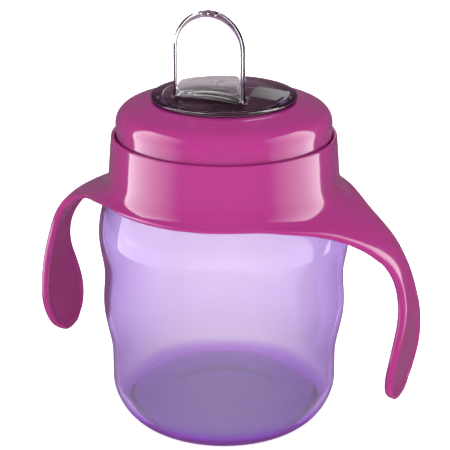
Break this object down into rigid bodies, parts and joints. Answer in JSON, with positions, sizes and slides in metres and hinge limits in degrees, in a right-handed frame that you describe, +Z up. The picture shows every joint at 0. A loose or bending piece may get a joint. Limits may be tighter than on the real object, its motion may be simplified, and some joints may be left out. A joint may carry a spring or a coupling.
{
  "type": "sippy cup",
  "caption": "Toddler's drinking cup with a clear flattened spout, a screw ring and two curved handles on a collar.",
  "frame": {"origin": "centre of the foot, on the surface that the cup stands on", "axes": "+Z up along the cup's axis, handles along +X and -X, spout towards -Y"},
  "size_m": [0.123, 0.0762, 0.129],
  "materials": {
    "cup_plastic": "translucent violet, glossy",
    "handle_plastic": "opaque magenta, glossy",
    "ring_plastic": "opaque magenta, glossy",
    "spout_silicone": "clear, glossy, soft",
    "holder_plastic": "dark plum, satin",
    "membrane_silicone": "smoky, satin, soft"
  },
  "bodies": {
    "cup": {"cup_body": "cup_plastic"},
    "handles": {"handle_ring": "handle_plastic"},
    "lid": {"spout": "spout_silicone"},
    "ring": {"screw_ring": "ring_plastic"},
    "valve": {"valve_holder": "holder_plastic"},
    "membrane": {"valve_membrane": "membrane_silicone"}
  },
  "joints": [
    {"name": "handle_turn", "type": "hinge", "parent": "cup", "child": "handles", "pos_m": [0, 0, 0.08], "axis": [0, 0, 1], "continuous": true},
    {"name": "lid_rise", "type": "slide", "parent": "cup", "child": "lid", "axis": [0, 0, 1], "range_m": [0, 0.0063]},
    {"name": "ring_turn", "type": "hinge", "parent": "lid", "child": "ring", "pos_m": [0, 0, 0.09], "axis": [0, 0, 1], "range_deg": [0, 450]},
    {"name": "valve_pull", "type": "slide", "parent": "lid", "child": "valve", "axis": [0, 0, -1], "range_m": [0, 0.012]},
    {"name": "membrane_pull", "type": "slide", "parent": "valve", "child": "membrane", "axis": [0, 0, -1], "range_m": [0, 0.008]}
  ],
  "couplings": [
    {"joint": "lid_rise", "follows": "ring_turn", "m_per_rad": 0.00079577}
  ]
}
